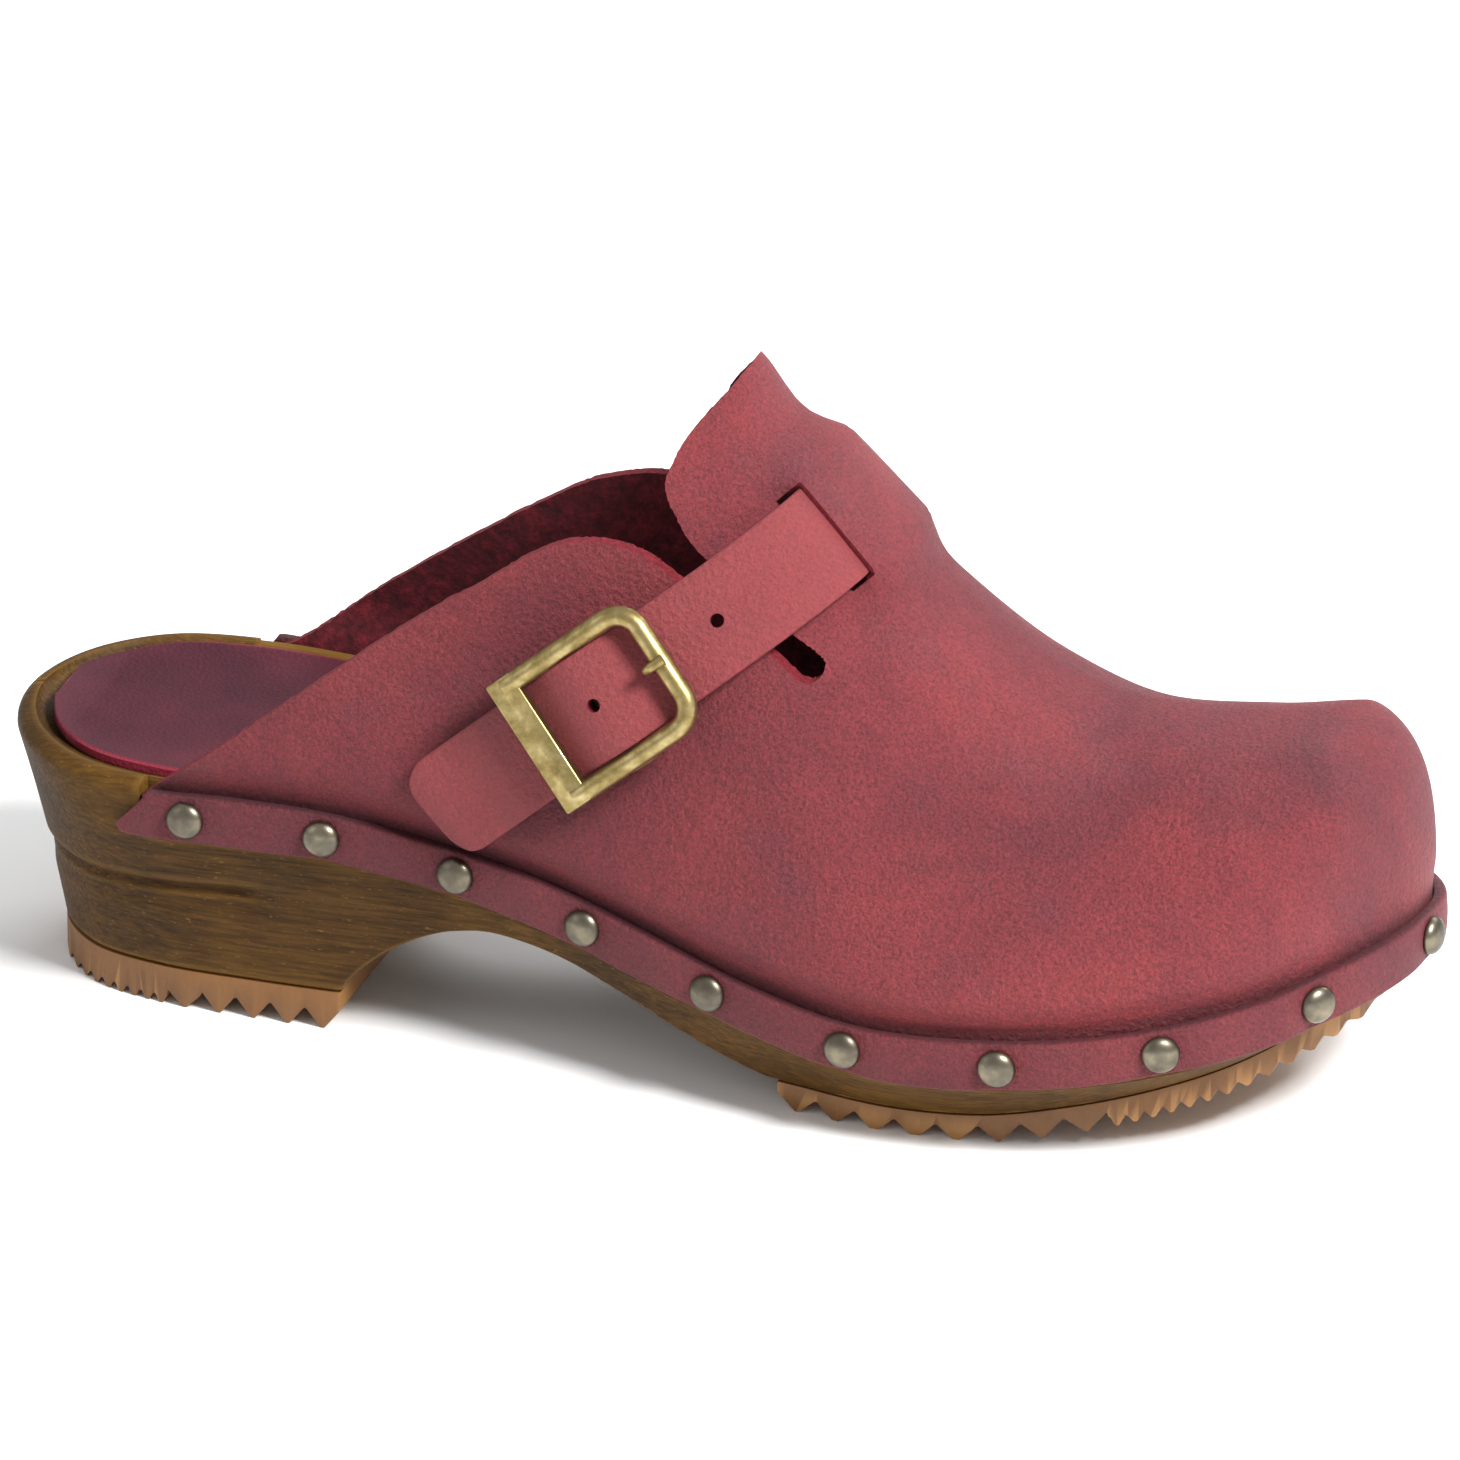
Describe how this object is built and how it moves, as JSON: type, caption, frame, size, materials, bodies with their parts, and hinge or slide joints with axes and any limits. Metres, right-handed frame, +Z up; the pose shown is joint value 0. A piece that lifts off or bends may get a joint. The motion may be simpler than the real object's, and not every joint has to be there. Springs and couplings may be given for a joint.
{
  "type": "wooden clog",
  "caption": "Right-foot wooden clog with a carved heel, a red leather upper nailed round the rim under a studded band, rubber treads and an instep strap closed by a buckle.",
  "frame": {"origin": "on the ground under the centre of the clog's box", "axes": "+X to the toe, +Y to the medial side, +Z up"},
  "size_m": [0.2619, 0.1005, 0.1228],
  "materials": {
    "wood": "brown-stained alder, open grain, satin",
    "rubber": "caramel rubber, matte, toothed",
    "leather": "wine-red oiled nubuck, mottled, raw cut edges",
    "band_leather": "wine-red oiled nubuck strip, raw cut edges",
    "strap_leather": "wine-red oiled nubuck strap, raw cut edges",
    "insole": "burgundy lining leather, fine grain, matte",
    "brass": "antique brass, brushed and darkened in the recesses",
    "stud_metal": "gunmetal-bronze plated nail heads, polished"
  },
  "bodies": {
    "clog": {"wooden_sole": "wood", "heel_tread": "rubber", "forepart_tread": "rubber", "insole_sock": "insole", "upper": "leather", "edge_band": "band_leather", "strap": "strap_leather", "buckle_chape": "strap_leather", "buckle_pin": "brass", "chape_rivet_01": "stud_metal", "chape_rivet_02": "stud_metal", "anchor_rivet_01": "stud_metal", "anchor_rivet_02": "stud_metal", "stud_01": "stud_metal", "stud_02": "stud_metal", "stud_03": "stud_metal", "stud_04": "stud_metal", "stud_05": "stud_metal", "stud_06": "stud_metal", "stud_07": "stud_metal", "stud_08": "stud_metal", "stud_09": "stud_metal", "stud_10": "stud_metal", "stud_11": "stud_metal", "stud_12": "stud_metal", "stud_13": "stud_metal", "stud_14": "stud_metal", "stud_15": "stud_metal", "stud_16": "stud_metal", "stud_17": "stud_metal", "stud_18": "stud_metal", "stud_19": "stud_metal"},
    "buckle": {"buckle_frame": "brass"},
    "prong": {"buckle_prong": "brass"}
  },
  "joints": [
    {"name": "buckle_rock", "type": "hinge", "parent": "clog", "child": "buckle", "pos_m": [-0.00987, -0.03488, 0.07328], "axis": [0.6328, -0.1806, -0.753], "range_deg": [-6, 12], "deforming": ["strap"]},
    {"name": "prong_swing", "type": "hinge", "parent": "buckle", "child": "prong", "pos_m": [-0.00987, -0.03488, 0.07328], "axis": [0.6328, -0.1806, -0.753], "range_deg": [0, 5]}
  ]
}
